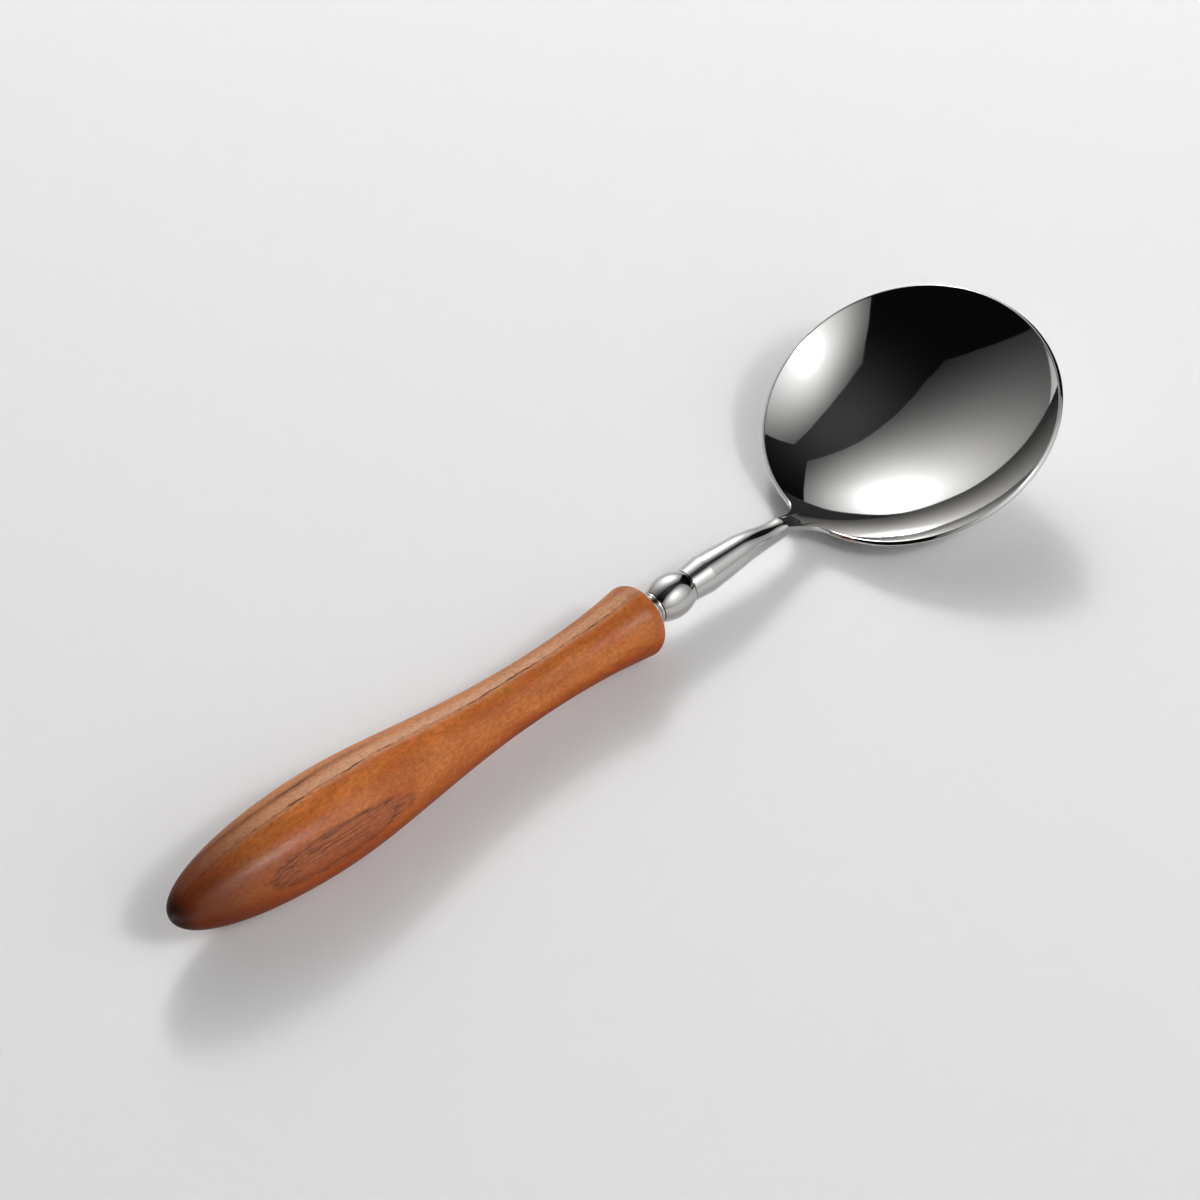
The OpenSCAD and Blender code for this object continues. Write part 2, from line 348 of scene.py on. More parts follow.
# Direction in which the lacquer is thickest, and the depth of the grain in metres
LACQUER_SIDE = -0.74
LACQUER_UP = 0.67
WOOD_RELIEF = 0.00005
BODY_RED = (0.45, 0.106, 0.018, 1)
BODY_ORANGE = (0.58, 0.172, 0.036, 1)
BLOTCH_OCHRE = (0.38, 0.135, 0.018, 1)
# Pale strip on top of the handle: partly the wood's lighter ring, partly painted sheen
STRIP_PALE_AND_SHEEN = (0.53, 0.245, 0.115, 1)
PATCH_RED = (0.35, 0.095, 0.036, 1)
PATCH_LINE_BROWN = (0.13, 0.038, 0.016, 1)
LINE_BROWN = (0.17, 0.05, 0.018, 1)
STREAK_BROWN = (0.2, 0.075, 0.03, 1)
# Painted shade: the underside of the handle darker and redder
UNDERSIDE_SHADE_RED = (0.25, 0.036, 0.006, 1)
SPECK_BROWN = (0.16, 0.045, 0.011, 1)
PORE_BROWN = (0.062, 0.016, 0.007, 1)
FRONT_RED = (0.24, 0.052, 0.016, 1)
# Butt's red-brown and near black: partly stain in the end grain, partly painted shade
BUTT_RED_STAIN_AND_SHADE = (0.12, 0.02, 0.006, 1)
END_BLACK = (0.022, 0.005, 0.003, 1)


def handle_axes(tree):
    """Millimetres along the handle from its front face, to its left side and up."""
    face = (BOWL_X + FACE_X, 0.0, FACE_Z)
    from_face = {0: part_millimetres(tree), 1: face}
    local = add(tree, "ShaderNodeVectorMath", from_face, operation="SUBTRACT").outputs[0]
    c, s = math.cos(HANDLE_FALL), math.sin(HANDLE_FALL)
    along = dot(tree, local, (-c, 0, s))
    up = dot(tree, local, (s, 0, c))
    side = add(tree, "ShaderNodeSeparateXYZ", {0: local}).outputs["Y"]
    return along, side, up


def ring_distance(tree, grain, side, up):
    """Distance from the heart of the tree, with rings that waver along the grain."""
    wander = noise(tree, grain, (30, 12, 12))
    flutter = noise(tree, grain, (4, 3, 3))
    from_side = calc(tree, "SUBTRACT", side, PITH_SIDE)
    from_up = calc(tree, "SUBTRACT", up, PITH_UP)
    even = long_side(tree, from_side, from_up)
    ring = calc(tree, "MULTIPLY_ADD", calc(tree, "SUBTRACT", wander, 0.5), RING_WANDER, even)
    return calc(tree, "MULTIPLY_ADD", calc(tree, "SUBTRACT", flutter, 0.5), RING_FLUTTER, ring)


def pore_marks(tree, grain, ring, streak):
    """Pores: short dark dashes along the grain, crowded in the porous rings and in the streak."""
    density = 0.0
    for middle, width, amount in RINGS:
        density = calc(tree, "MULTIPLY_ADD", bell(tree, ring, middle, width), amount, density)
    density = calc(tree, "ADD", density, streak)
    breaks = noise(tree, grain, (9.0, 2.0, 2.0), 4.0, 0.65)
    density = calc(tree, "MULTIPLY", density, ramp_between(tree, breaks, 0.4, 0.6, 0.25, 1.05))
    dashes = noise(tree, grain, (7.5, 0.4, 0.4), 4.0, 0.68)
    limit = calc(tree, "MULTIPLY_ADD", density, -0.3, 0.74)
    return ramp_between(tree, calc(tree, "SUBTRACT", dashes, limit), 0.0, 0.09)


def patch_marks(tree, grain, ring):
    """An oval patch on the belly, and its long thin lines, which crowd at the patch's outline."""
    patch = ramp_between(tree, ring, PATCH_RING - 0.3, PATCH_RING + 0.5, 1.0, 0.0)
    lines = noise(tree, grain, (22.0, 0.27, 0.27), 2.0, 0.55)
    lines = calc(tree, "MULTIPLY_ADD", bell(tree, ring, PATCH_RING, 0.5), 0.11, lines)
    lines = calc(tree, "MULTIPLY", ramp_between(tree, lines, 0.54, 0.66), patch)
    return patch, lines


def body_colour(tree, grain, broad, ring, patch, streak, height):
    """Broad mottling, ochre blotches, a pale strip on top that is partly painted sheen, the patch's ground,
    and painted shade that darkens and reddens the underside.
    """
    body = blend_colour(tree, ramp_between(tree, broad, 0.3, 0.7), BODY_RED, BODY_ORANGE)
    blotch = ramp_between(tree, noise(tree, grain, (5.0, 1.6, 1.6), 4.0, 0.7), 0.48, 0.64, 0.0, 0.6)
    blotch = calc(tree, "MULTIPLY", ramp_between(tree, ring, *BLOTCH_FROM), blotch)
    body = blend_colour(tree, blotch, body, BLOTCH_OCHRE)
    # The pale strip on top is partly the wood's lighter ring and partly painted sheen
    fade = ramp_between(tree, ring, *STRIP_FADE, 1.0, 0.5)
    strip = calc(tree, "MULTIPLY", ramp_between(tree, ring, *STRIP_FROM), fade)
    body = blend_colour(tree, strip, body, STRIP_PALE_AND_SHEEN)
    body = blend_colour(tree, calc(tree, "MULTIPLY", patch, 0.75), body, PATCH_RED)
    line = calc(tree, "MULTIPLY", bell(tree, ring, LINE_RING, 0.3), 0.35)
    body = blend_colour(tree, line, body, LINE_BROWN)
    body = blend_colour(tree, calc(tree, "MULTIPLY", streak, 0.7), body, STREAK_BROWN)
    # Painted shade: the underside darker and redder, by the angle it faces
    under = ramp_between(tree, height, -0.55, 0.4, 0.95, 0.0)
    return blend_colour(tree, under, body, UNDERSIDE_SHADE_RED)


def fine_marks(tree, body, grain, fibres, lathe):
    """The body's colour with specks, fibres, fine speckle, lathe marks and short crosswise ticks."""
    specks = noise(tree, grain, (1.5, 0.34, 0.34), 2.0, 0.6)
    body = blend_colour(tree, ramp_between(tree, specks, 0.6, 0.72, 0.0, 0.5), body, SPECK_BROWN)
    speckle = noise(tree, grain, (1.3, 0.7, 0.7), 3.0, 0.7)
    ticks = noise(tree, grain, (0.28, 2.6, 2.6), 2.0, 0.6)
    shade = calc(tree, "MULTIPLY_ADD", fibres, 0.6, 0.11)
    shade = calc(tree, "MULTIPLY_ADD", speckle, 1.1, shade)
    shade = calc(tree, "MULTIPLY_ADD", lathe, 0.14, shade)
    shade = calc(tree, "MULTIPLY_ADD", ramp_between(tree, ticks, 0.6, 0.72), -0.3, shade)
    return add(tree, "ShaderNodeVectorMath", {0: body, "Scale": shade}, operation="SCALE").outputs[0]


def ends_stain_and_shade(tree, body, along, broad):
    """The front turns redder, and near black at its face, and the butt goes red-brown, then near black: at
    the butt partly stain in the end grain, partly painted shade.
    """
    uneven = calc(tree, "MULTIPLY_ADD", broad, 4.0, along)
    # The butt's darkening is partly stain in the end grain and partly painted shade; the front only turns
    # redder and darker
    body = blend_colour(tree, ramp_between(tree, uneven, *BUTT_STAIN_AND_SHADE, 0.0, 0.92), body, BUTT_RED_STAIN_AND_SHADE)
    body = blend_colour(tree, ramp_between(tree, uneven, *FRONT_REDDENING, 0.4, 0.0), body, FRONT_RED)
    butt = ramp_between(tree, uneven, *BUTT_BLACK_STAIN_AND_SHADE, 0.0, 0.95)
    front = ramp_between(tree, along, *FRONT_BLACK, 0.5, 0.0)
    return blend_colour(tree, calc(tree, "MAXIMUM", butt, front), body, END_BLACK)


def wood_material(name):
    """Turned, stained and lacquered wood with wide rings, open pores and faint lathe marks."""
    material, tree, shader = new_material(name)
    along, side, up = handle_axes(tree)
    grain = add(tree, "ShaderNodeCombineXYZ", {0: along, 1: side, 2: up}).outputs[0]
    ring = ring_distance(tree, grain, side, up)
    around = calc(tree, "MAXIMUM", long_side(tree, side, up), 0.1)
    height = calc(tree, "DIVIDE", up, around)
    broad = noise(tree, grain, (14, 5, 5), 3.0)
    fibres = noise(tree, grain, (7.0, 0.3, 0.3), 3.0, 0.6)
    lathe = noise(tree, grain, (0.32, 7, 7), 2.0, 0.6)
    belly = ramp_between(tree, along, *STREAK_FROM, 0.05, 1.0)
    streak = calc(tree, "MULTIPLY", bell(tree, ring, STREAK_RING, 0.8), belly)
    pores = pore_marks(tree, grain, ring, streak)
    patch, lines = patch_marks(tree, grain, ring)

    body = body_colour(tree, grain, broad, ring, patch, streak, height)
    body = fine_marks(tree, body, grain, fibres, lathe)
    body = blend_colour(tree, calc(tree, "MULTIPLY", lines, 0.9), body, PATCH_LINE_BROWN)
    body = blend_colour(tree, calc(tree, "MULTIPLY", pores, 0.85), body, PORE_BROWN)
    tree.links.new(ends_stain_and_shade(tree, body, along, broad), shader.inputs["Base Color"])

    rough = calc(tree, "MULTIPLY_ADD", fibres, 0.15, 0.42)
    tree.links.new(rough, shader.inputs["Roughness"])
    relief = calc(tree, "MULTIPLY_ADD", pores, -1.0, calc(tree, "MULTIPLY", lathe, 0.3))
    relief = calc(tree, "MULTIPLY_ADD", lines, -0.6, relief)
    relief = calc(tree, "MULTIPLY_ADD", fibres, 0.3, relief)
    bump = add(tree, "ShaderNodeBump", {"Strength": 1.0, "Distance": WOOD_RELIEF, "Height": relief})
    tree.links.new(bump.outputs[0], shader.inputs["Normal"])
    tree.links.new(bump.outputs[0], shader.inputs["Coat Normal"])
    shader.inputs["Specular IOR Level"].default_value = 0.06

    # The lacquer is thickest on the upper right side and worn thin elsewhere
    leftward = calc(tree, "DIVIDE", side, around)
    toward = calc(tree, "MULTIPLY", height, LACQUER_UP)
    toward = calc(tree, "MULTIPLY_ADD", leftward, LACQUER_SIDE, toward)
    lacquer = ramp_between(tree, toward, 0.72, 1.0, 0.05, 0.5)
    lacquer = calc(tree, "MULTIPLY_ADD", fibres, 0.06, lacquer)
    tree.links.new(lacquer, shader.inputs["Coat Weight"])
    shader.inputs["Coat Roughness"].default_value = 0.3
    shader.inputs["Coat IOR"].default_value = 1.5
    return material


def plain_material(name, colour, roughness, metallic):
    """A hidden piece's material: one colour with a little mottling."""
    material, tree, shader = new_material(name)
    mottle = noise(tree, part_millimetres(tree), (2.5, 2.5, 2.5), 3.0)
    dark = tuple(0.8 * c for c in colour)
    tree.links.new(blend_colour(tree, mottle, (*dark, 1), (*colour, 1)), shader.inputs["Base Color"])
    shader.inputs["Roughness"].default_value = roughness
    shader.inputs["Metallic"].default_value = metallic
    return material


steel = steel_material("polished_steel")
wood = wood_material("turned_wood")
tang_steel = plain_material("tang_steel", (0.5, 0.5, 0.5), 0.4, 1.0)
epoxy = plain_material("epoxy", (0.55, 0.42, 0.2), 0.2, 0.0)


# Bowl and shank


def dish(q, r):
    """Height of a bowl skin of radius r, at the distance q from the middle of the bowl."""
    return CAP_H - np.sqrt(r * r - q * q)


def dish_slope(q, r):
    return q / np.sqrt(r * r - q * q)


def round_distance(u, v):
    """Distance from the middle of the bowl with the fuller tip evened out, so that the rim is at RIM_R."""
    return np.hypot(u, v) - EGG * u * v * v / RIM_R**2


# Heights of the throat's top and under corners, from the middle of the throat
TONGUE_TOP = dish(round_distance(-THROAT_U, THROAT_W / 2), INNER_R) - HEEL_RISE + WORN_TOP
TONGUE_UNDER = dish(round_distance(-THROAT_U, THROAT_W / 2), OUTER_R) - HEEL_RISE + WORN_UNDER
# Size of the softened corners along the edge of the sheet
SOFT_EDGE = 0.3
RIM_STEPS = 160
FILLET_STEPS = 40
THROAT_STEPS = 24
LIP_STEPS = 8
# Rows of each skin, closer together towards the edge
SKIN_ROWS = 72
SKIN_EASE = 1.5


def half_spokes():
    """The bowl's outline on one side, as rows of u, v, share of the fillet, throat angle."""
    rows = []
    for i in range(RIM_STEPS):
        a = (math.pi - FILLET_START) * i / RIM_STEPS
        r = RIM_R * (1 + EGG * math.cos(a) * math.sin(a) ** 2)
        rows.append((r * math.cos(a), r * math.sin(a), 0.0, 0.0))
    for i in range(FILLET_STEPS):
        share = i / FILLET_STEPS
        a = -mix(FILLET_START, math.pi / 2, share)
        rows.append((-THROAT_U + FILLET * math.cos(a), FILLET_V + FILLET * math.sin(a), share, 0.0))
    for i in range(THROAT_STEPS + 1):
        a = math.pi / 2 * i / THROAT_STEPS
        rows.append((-THROAT_U, THROAT_W / 2 * math.cos(a), 1.0, a))
    return rows


one_side = half_spokes()
other_side = [(p[0], -p[1], p[2], p[3]) for p in one_side[-2:0:-1]]
spokes = np.array(one_side + other_side)
U, V, SHARE, THROAT_A = spokes.T


def on_dish(u, v, r):
    """Points on a bowl skin of radius r."""
    return np.stack([u, v, dish(round_distance(u, v), r)], -1)


def edge_points(inset, r, worn, side, h):
    """The end of a skin: on the sheet, drawn in by an inset that fades on the fillet, or on the throat."""
    s = 1 - inset / RIM_R * (1 - SHARE)
    throat = np.stack([U, V, HEEL_RISE + mix(side, h, np.sin(THROAT_A))], -1)
    sheet = on_dish(U * s, V * s, r) + (worn * SHARE**4)[:, None] * (0, 0, 1)
    return np.where((THROAT_A > 0)[:, None], throat, sheet)


def skin_rows(edge, r, heel_slope, run, shares):
    """Rows of a skin from the middle to its edge, a sphere led into the throat, and their normals.

    A normal is zero where the formula of the sphere doesn't give it.
    """
    end_q = np.hypot(edge[:, 0], edge[:, 1])
    base_q = round_distance(edge[:, 0], edge[:, 1])
    lift = edge[:, 2] - dish(base_q, r)
    bend = (heel_slope - dish_slope(base_q, r)) * run * np.sin(THROAT_A)
    rows = []
    normals = []
    for share in shares:
        u = edge[:, 0] * share
        v = edge[:, 1] * share
        x = np.clip(1 - end_q * (1 - share) / run, 0, None)
        rise = x**3 * (4 * lift - bend + (bend - 3 * lift) * x)
        rows.append(on_dish(u, v, r) + rise[:, None] * (0, 0, 1))
        slope = dish_slope(round_distance(u, v), r)
        flat = np.hypot(u, v)
        slope_u = slope * (u / flat - EGG * v * v / RIM_R**2)
        slope_v = slope * (v / flat - 2 * EGG * u * v / RIM_R**2)
        known = (x == 0) | ((SHARE == 0) & (share < 1))
        normals.append(np.stack([-slope_u, -slope_v, np.ones(len(u))], -1) * known[:, None])
    return rows, normals


def bowl_rows():
    """Rows of points and normals: top skin, square-cut edge with softened corners, under skin."""
    band = RIM_R * SHEET_T / OUTER_R
    corner_in = edge_points(band, INNER_R, WORN_TOP, TONGUE_TOP, THROAT_H / 2)
    corner_out = edge_points(0.0, OUTER_R, WORN_UNDER, TONGUE_UNDER, -THROAT_H / 2)
    inner = edge_points(band + SOFT_EDGE, INNER_R, WORN_TOP, TONGUE_TOP, THROAT_H / 2)
    outer = edge_points(SOFT_EDGE, OUTER_R, WORN_UNDER, TONGUE_UNDER, -THROAT_H / 2)
    land = corner_out - corner_in
    reach = np.linalg.norm(land, axis=1)
    take = (SOFT_EDGE * (1 - SHARE) / reach)[:, None]
    land_in = corner_in + land * take
    land_out = corner_out - land * take
    shares = 1 - (1 - np.linspace(0, 1, SKIN_ROWS)[1:]) ** SKIN_EASE
    top, top_normals = skin_rows(inner, INNER_R, SLOPE_TOP, BLEND_TOP, shares)
    under, under_normals = skin_rows(outer, OUTER_R, SLOPE_UNDER, BLEND_UNDER, shares)
    lip = []
    for k in range(1, LIP_STEPS):
        t = k / LIP_STEPS
        lip.append((1 - t) ** 2 * inner + 2 * t * (1 - t) * corner_in + t * t * land_in)
    lip.append(land_in)
    lip.append((land_in + land_out) / 2)
    lip.append(land_out)
    for k in range(1, LIP_STEPS):
        t = k / LIP_STEPS
        lip.append((1 - t) ** 2 * land_out + 2 * t * (1 - t) * corner_out + t * t * outer)
    free = [np.zeros((len(spokes), 3))] * len(lip)
    under_normals = [-n for n in under_normals]
    return top + lip + under[::-1], top_normals + free + under_normals[::-1]


def shank_r(d):
    """Radius of the straight taper at the distance d in front of the shoulder."""
    return mix(SHANK_D / 2, SHANK_END_D / 2, d / SHANK_LEN)


def stem_point(s):
    """Place of the stem's axis, as x and z, at the distance s in front of the handle."""
    x = BOWL_X + FACE_X + s * math.cos(STEM_RISE)
    z = FACE_Z + STEM_LIFT + s * math.sin(STEM_RISE)
    return np.array([x, z])


def neck_ring(t):
    """A ring of the bent part of the shank: middle x and z, lean, half width, half height."""
    start = stem_point(SHOULDER_S + TURNED_LEN)
    end = np.array([BOWL_X + THROAT_X, THROAT_Z])
    reach = np.linalg.norm(end - start)
    x = hermite(start[0], reach * math.cos(STEM_RISE), end[0], reach * math.cos(NECK_DIP), t)
    z = hermite(start[1], reach * math.sin(STEM_RISE), end[1], -reach * math.sin(NECK_DIP), t)
    z += reach * NECK_HUMP * t**8 * (1 - t)
    lean = mix(-STEM_RISE, -TILT, t**3)
    r = mix(shank_r(TURNED_LEN), THROAT_W / 2, t)
    h = mix(r, THROAT_H / 2, t**3)
    return x, z, lean, r, h


def ring_points(x, z, lean, r, h, t):
    """Points round a ring from one side over the top to the other side and back underneath.

    The ring is round where t is 0, with a small gap at each side to keep its two halves apart. Where t is 1
    it has the straight sides of the tongue.
    """
    gap = math.pi / 4 / THROAT_STEPS * (1 - t)
    a = np.linspace(gap, math.pi - gap, 2 * THROAT_STEPS + 1)
    up = mix(TONGUE_TOP * t**5, h, np.sin(a))
    down = mix(TONGUE_UNDER * t**5, -h, np.sin(a))
    top = np.stack([x + math.sin(lean) * up, r * np.cos(a), z + math.cos(lean) * up], -1)
    under = np.stack([x + math.sin(lean) * down, -r * np.cos(a), z + math.cos(lean) * down], -1)
    return np.concatenate([top, under])


def throat_slopes():
    """Slopes of the neck's top and underside at the throat, seen in the bowl's frame."""
    near_end = 0.97
    slopes = []
    for side in (1, -1):
        ends = []
        for t in (near_end, 1.0):
            x, z, lean, _, h = neck_ring(t)
            ends.append(np.array([x + math.sin(lean) * side * h, z + math.cos(lean) * side * h]))
        step = ends[1] - ends[0]
        along = step[0] * math.cos(TILT) + step[1] * math.sin(TILT)
        away = -step[0] * math.sin(TILT) + step[1] * math.cos(TILT)
        slopes.append(-away / along)
    return slopes


SLOPE_TOP, SLOPE_UNDER = throat_slopes()


def make_bowl():
    """The bowl, and the normals that its skins have by formula, with zero where there is none."""
    rows, row_normals = bowl_rows()
    count = len(spokes)
    points = np.concatenate(rows + [[[0, 0, dish(0, INNER_R)], [0, 0, dish(0, OUTER_R)]]])
    normals = np.concatenate(row_normals + [[[0, 0, 1], [0, 0, -1]]])
    normals = bowl_to_part(normals) - bowl_to_part((0, 0, 0))
    faces = grid_faces(len(rows), count)
    first = len(rows) * count
    start = (len(rows) - 1) * count
    for j in range(count):
        faces.append((first, (j + 1) % count, j))
        faces.append((first + 1, start + j, start + (j + 1) % count))
    faces = [f[::-1] for f in faces]
    piece = make_piece("bowl_shell", bowl_to_part(points), faces, steel, "bowl", 50)
    return piece, [Vector(n).normalized() for n in normals]


def make_shank():
    """The bevelled cone, the sharp shoulder, the straight taper and the bend to the throat."""
    bevel_in = 0.25
    bevel_on = 0.15
    taper_from = 4.0
    taper_steps = 10
    corners = [
        (CONE_D / 2 - bevel_in, CONE_S),
        (CONE_D / 2, CONE_S + bevel_on),
        (SHANK_D / 2, SHOULDER_S),
        (shank_r(taper_from), SHOULDER_S + taper_from),
    ]
    turned = rounded(corners, [0.12, 0.18])
    for d in np.linspace(taper_from, TURNED_LEN, taper_steps)[1:-1]:
        turned.append((shank_r(d), SHOULDER_S + d))
    rings = []
    for r, s in turned:
        x, z = stem_point(s)
        rings.append(ring_points(x, z, -STEM_RISE, r, r, 0.0))
    neck_steps = 40
    for i in range(neck_steps + 1):
        t = i / neck_steps
        rings.append(ring_points(*neck_ring(t), t))
    count = len(rings[0])
    points = np.concatenate(rings + [[rings[0].mean(0), rings[-1].mean(0)]])
    faces = grid_faces(len(rings), count)
    first = len(rings) * count
    start = (len(rings) - 1) * count
    for j in range(count):
        faces.append((first, (j + 1) % count, j))
        faces.append((first + 1, start + j, start + (j + 1) % count))
    return make_piece("shank_body", points, faces, steel, "shank", 40)


# Points are matched to the micrometre. A face that looks along the shank, by this cosine, is a hidden end
MICROMETRES = 1e6
END_FACE = 0.94


def blend_seam(one, other, normals):
    """Give each point that the two pieces share one normal, so that the weld between them shades smoothly.

    The first piece's other points get the normals given.
    """
    plane = Vector((math.cos(TILT), 0, math.sin(TILT)))
    shared = {}
    for piece in (one, other):
        mesh = piece.data
        sums = {}
        for face in mesh.polygons:
            if abs(face.normal.dot(plane)) > END_FACE:
                continue
            for index in face.vertices:
                sums[index] = sums.get(index, Vector()) + face.normal * face.area
        for index, total in sums.items():
            key = tuple(round(c * MICROMETRES) for c in mesh.vertices[index].co)
            shared.setdefault(key, []).append((piece, index, total))
    for piece in (one, other):
        normals = list(normals) if piece == one else [Vector()] * len(piece.data.vertices)
        for rows in shared.values():
            if len({row[0].name for row in rows}) < 2:
                continue
            joint = sum((row[2] for row in rows), Vector()).normalized()
            for row in rows:
                if row[0] == piece:
                    normals[row[1]] = joint
        piece.data.normals_split_custom_set_from_vertices(normals)


def stem_piece(name, outline, node):
    """A polished piece that is threaded on the tang."""
    return turned_piece(name, outline, steel, node, STEM_LIFT, STEM_RISE, True)


def make_bead():
    """A bead that is one arc from end to end."""
    bulge = (BEAD_D - BEAD_END_D) / 2
    arc_r = (BEAD_LEN**2 / 4 + bulge**2) / (2 * bulge)
    half_turn = math.asin(BEAD_LEN / 2 / arc_r)
    half_steps = 32
    outline = [(TANG_R, BEAD_S)]
    for i in range(2 * half_steps + 1):
        a = half_turn * (i - half_steps) / half_steps
        s = BEAD_S + BEAD_LEN / 2 + arc_r * math.sin(a)
        outline.append((BEAD_D / 2 - arc_r * (1 - math.cos(a)), s))
    outline.append((TANG_R, CONE_S))
    return stem_piece("bead_turned", outline, "bead")


def make_ring():
    """A ring with a half-round edge."""
    steps = 16
    outline = [(TANG_R, WASHER_T)]
    for i in range(steps + 1):
        a = math.pi * (i / steps - 0.5)
        s = WASHER_T + RING_T / 2 * (1 + math.sin(a))
        outline.append((RING_D / 2 - RING_T / 2 * (1 - math.cos(a)), s))
    outline.append((TANG_R, BEAD_S))
    return stem_piece("spacer_ring_turned", outline, "spacer_ring")


def make_washer():
    """A washer with a rounded front edge, which sits flat on the wood with a hair's gap."""
    edge = WASHER_T / 2
    back = 0.15
    steps = 12
    outline = [(TANG_R, back), (WASHER_D / 2, back)]
    for i in range(steps + 1):
        a = math.pi / 2 * i / steps
        outline.append((WASHER_D / 2 - edge * (1 - math.cos(a)), WASHER_T - edge * (1 - math.sin(a))))
    outline.append((TANG_R, WASHER_T))
    return stem_piece("seat_washer_turned", outline, "seat_washer")


def make_handle():
    """Rounded front edge, flare to waist, waist to belly, and belly to butt."""
    round_steps = 16
    flare_steps = 60
    belly_steps = 90
    butt_steps = 70
    outline = []
    for i in range(round_steps + 1):
        a = math.pi / 2 * i / round_steps
        outline.append((FLARE_D / 2 - FRONT_ROUND * (1 - math.sin(a)), -FRONT_ROUND * (1 - math.cos(a))))
    for i in range(1, flare_steps + 1):
        t = i / flare_steps
        r = hermite(FLARE_D / 2, -FLARE_FALL * (WAIST_POS - FRONT_ROUND), WAIST_D / 2, 0, t)
        outline.append((r, -mix(FRONT_ROUND, WAIST_POS, t)))
    for i in range(1, belly_steps + 1):
        t = i / belly_steps
        r = hermite(WAIST_D / 2, 0, BELLY_D / 2, 0, t**BELLY_POWER)
        outline.append((r, -mix(WAIST_POS, BELLY_POS, t)))
    for i in range(1, butt_steps):
        t = math.sin(math.pi / 2 * i / butt_steps)
        outline.append((BELLY_D / 2 * (1 - t * t) ** BUTT_POWER, -mix(BELLY_POS, HANDLE_LEN, t)))
    return turned_piece("handle_turned", outline, wood, "handle", 0.0, -HANDLE_FALL, False, 50, 256)


bowl_piece, bowl_normals = make_bowl()
shank_piece = make_shank()
blend_seam(bowl_piece, shank_piece, bowl_normals)
make_bead()
make_ring()
make_washer()
make_handle()
for name, material in (("tang", tang_steel), ("tang_adhesive", epoxy)):
    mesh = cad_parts[name].data
    mesh.materials.clear()
    mesh.materials.append(material)


# Stage: a pale floor, two large softboxes and a dim room


def stage_sheet(name, corners, material):
    """A flat sheet of the stage from its corners in metres."""
    mesh = bpy.data.meshes.new(name)
    mesh.from_pydata(corners, [], [tuple(range(len(corners)))])
    mesh.materials.append(material)
    made = bpy.data.objects.new(name, mesh)
    bpy.context.scene.collection.objects.link(made)


def floor_material():
    material, _, shader = new_material("pale_floor")
    shader.inputs["Base Color"].default_value = (0.88, 0.88, 0.88, 1)
    shader.inputs["Roughness"].default_value = 0.9
    shader.inputs["Specular IOR Level"].default_value = 0.0
    return material


def softbox_material(name, lamp, lobes):
    """A diffuser with one lamp behind it: brightest in front of the lamp, fading towards the edges.

    The glow is a sum of lobes, each with its peak, its spread in metres and its power.
    """
    material = bpy.data.materials.new(name)
    material.use_nodes = True
    tree = material.node_tree
    tree.nodes.clear()
    out = add(tree, "ShaderNodeOutputMaterial")
    place = add(tree, "ShaderNodeTexCoord").outputs["Object"]
    away = add(tree, "ShaderNodeVectorMath", {0: place, 1: lamp}, operation="DISTANCE").outputs["Value"]
    strength = 0.0
    for peak, spread, power in lobes:
        share = calc(tree, "DIVIDE", away, spread)
        fall = calc(tree, "POWER", calc(tree, "MULTIPLY_ADD", share, share, 1.0), -power)
        strength = calc(tree, "MULTIPLY_ADD", fall, peak, strength)
    glow = add(tree, "ShaderNodeEmission", {"Color": (1, 1, 1, 1), "Strength": strength})
    tree.links.new(glow.outputs[0], out.inputs[0])
    return material


# Half width and half height of a softbox's bright middle, and its gap in front of the sheet
MIDDLE_X = 0.6
MIDDLE_Z = 0.5
MIDDLE_GAP = 0.01
SQUARE = ((-1, -1), (1, -1), (1, 1), (-1, 1))


def softbox(name, facing, distance, outline, lamp, lobes):
    """A flat softbox from its plane's direction and distance, and its outline and lamp in x and z.

    A second sheet in front of the lamp has the same glow, so that the bright middle is sampled more often.
    """
    f = Vector(facing).normalized()
    middle = [(lamp[0] + x * MIDDLE_X, lamp[1] + z * MIDDLE_Z) for x, z in SQUARE]
    place = (lamp[0], (distance - f.x * lamp[0] - f.z * lamp[1]) / f.y, lamp[1])
    material = softbox_material(name, place, lobes)
    sheets = ((name, outline, distance), (name + "_middle", middle, distance - MIDDLE_GAP))
    for label, corners, away in sheets:
        sheet = [(x, (away - f.x * x - f.z * z) / f.y, z) for x, z in corners]
        stage_sheet(label, sheet, material)


# The floor lies a hair below the spoon
FLOOR_HALF = 6
FLOOR_Z = -0.0001
floor_corners = [(x * FLOOR_HALF, y * FLOOR_HALF, FLOOR_Z) for x, y in SQUARE]
stage_sheet("floor", floor_corners, floor_material())

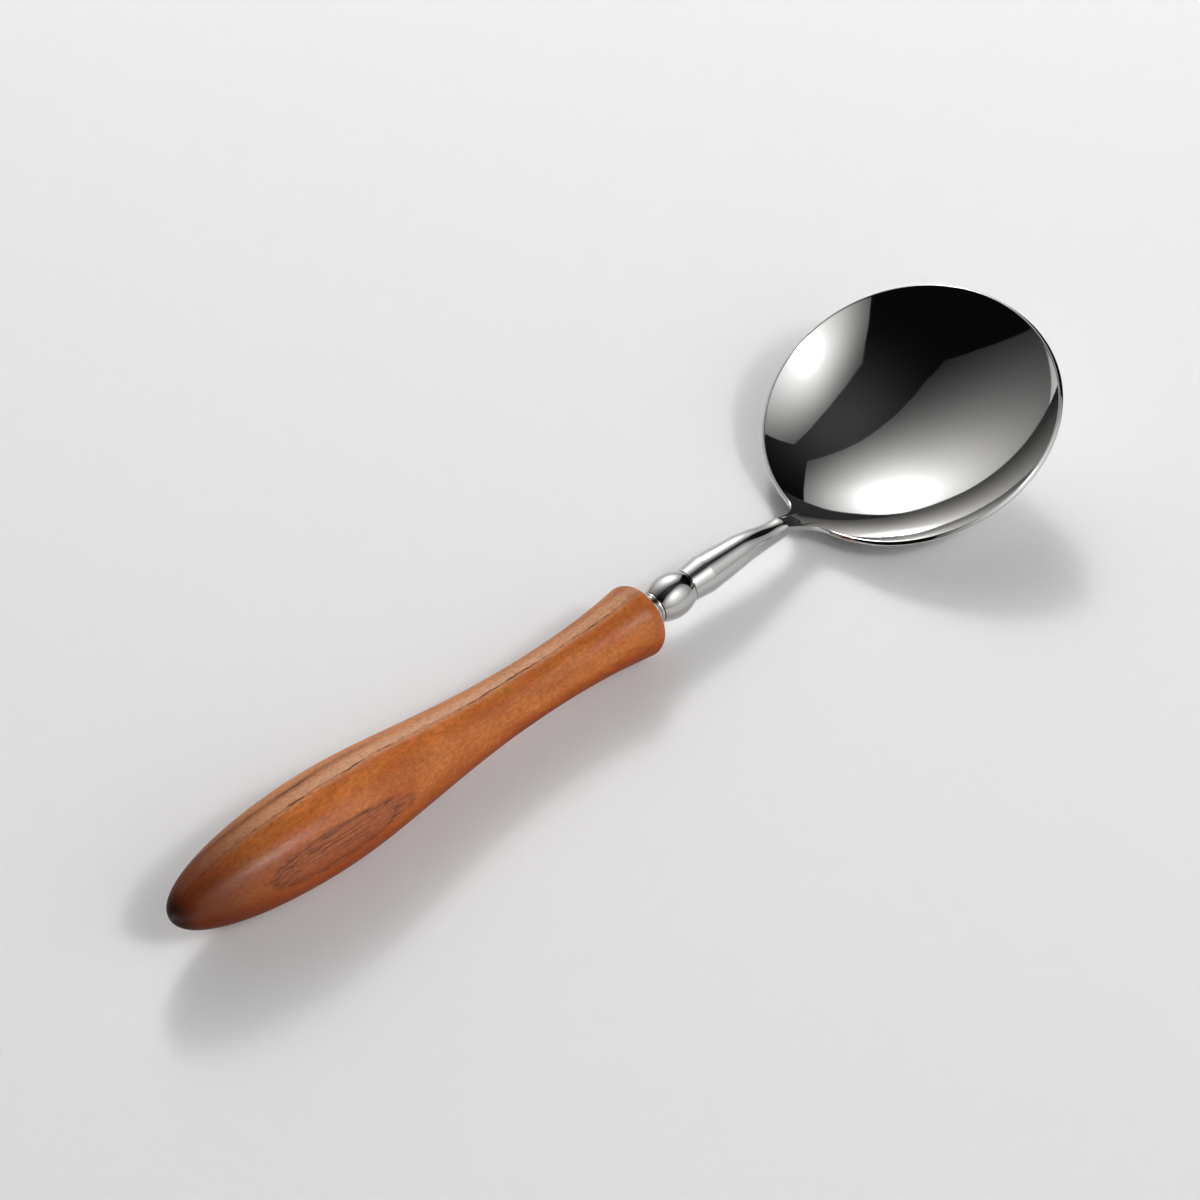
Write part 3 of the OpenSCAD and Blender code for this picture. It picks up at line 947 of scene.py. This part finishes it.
# The bright middle of each softbox: peak, spread in metres and power
HOT_SPOT = (70.0, 0.25, 4.0)
softbox(
    "softbox_north",
    facing=(0.063, 0.877, 0.476),
    distance=1.5,
    outline=((2.23, 2.40), (-1.3, 2.46), (-2.06, 2.25), (-1.97, 1.25), (-1.64, 0.0), (2.305, 0.0)),
    lamp=(0.907, 0.973),
    lobes=((2.25, 1.0, 1.8), HOT_SPOT),
)
softbox(
    "softbox_south",
    facing=(0.356, -0.934, 0.017),
    distance=1.5,
    outline=((-1.508, 5.161), (3.099, 3.335), (1.96, 0.0), (-3.27, 0.0)),
    lamp=(0.308, 1.658),
    lobes=((1.73, 1.5, 1.35), (0.71, 0.5, 2.0), HOT_SPOT),
)

# A dark room, a little paler overhead and towards the tip of the bowl
ROOM_DARK = 0.004
ROOM_GLOW = 0.055
ROOM_POWER = 6.6
ROOM_PALE = (0.25, -0.1, 1.0)
world = bpy.data.worlds.new("room")
bpy.context.scene.world = world
world.use_nodes = True
room = world.node_tree
facing = add(room, "ShaderNodeTexCoord").outputs["Generated"]
above = calc(room, "MAXIMUM", dot(room, facing, ROOM_PALE), 0.0)
glow = calc(room, "MULTIPLY_ADD", calc(room, "POWER", above, ROOM_POWER), ROOM_GLOW, ROOM_DARK)
room.links.new(glow, room.nodes["Background"].inputs["Strength"])
room.nodes["Background"].inputs["Color"].default_value = (1, 1, 1, 1)

# Camera: the photograph's angle and framing, for a square picture
AZIMUTH = math.radians(-41.6874)
ELEVATION = math.radians(44.8008)
ROLL = math.radians(-1.3459)
DISTANCE = 0.953627
PICTURE_PX = 1200
FOCAL_PX = 4145.72
TARGET = Vector((0.010384, 0.017098, 0))
back = Vector(
    (
        math.sin(AZIMUTH) * math.cos(ELEVATION),
        -math.cos(AZIMUTH) * math.cos(ELEVATION),
        math.sin(ELEVATION),
    )
)
level = Vector((math.cos(AZIMUTH), math.sin(AZIMUTH), 0))
right = level * math.cos(ROLL) + back.cross(level) * math.sin(ROLL)
lens = bpy.data.cameras.new("camera")
lens.sensor_fit = "HORIZONTAL"
lens.sensor_width = 36
lens.lens = FOCAL_PX / PICTURE_PX * lens.sensor_width
lens.clip_start = 0.01
camera = bpy.data.objects.new("camera", lens)
turned = Matrix((right, back.cross(right), back)).transposed().to_4x4()
camera.matrix_world = Matrix.Translation(TARGET + back * DISTANCE) @ turned
bpy.context.scene.collection.objects.link(camera)
bpy.context.scene.camera = camera
bpy.context.scene.view_settings.view_transform = "Standard"
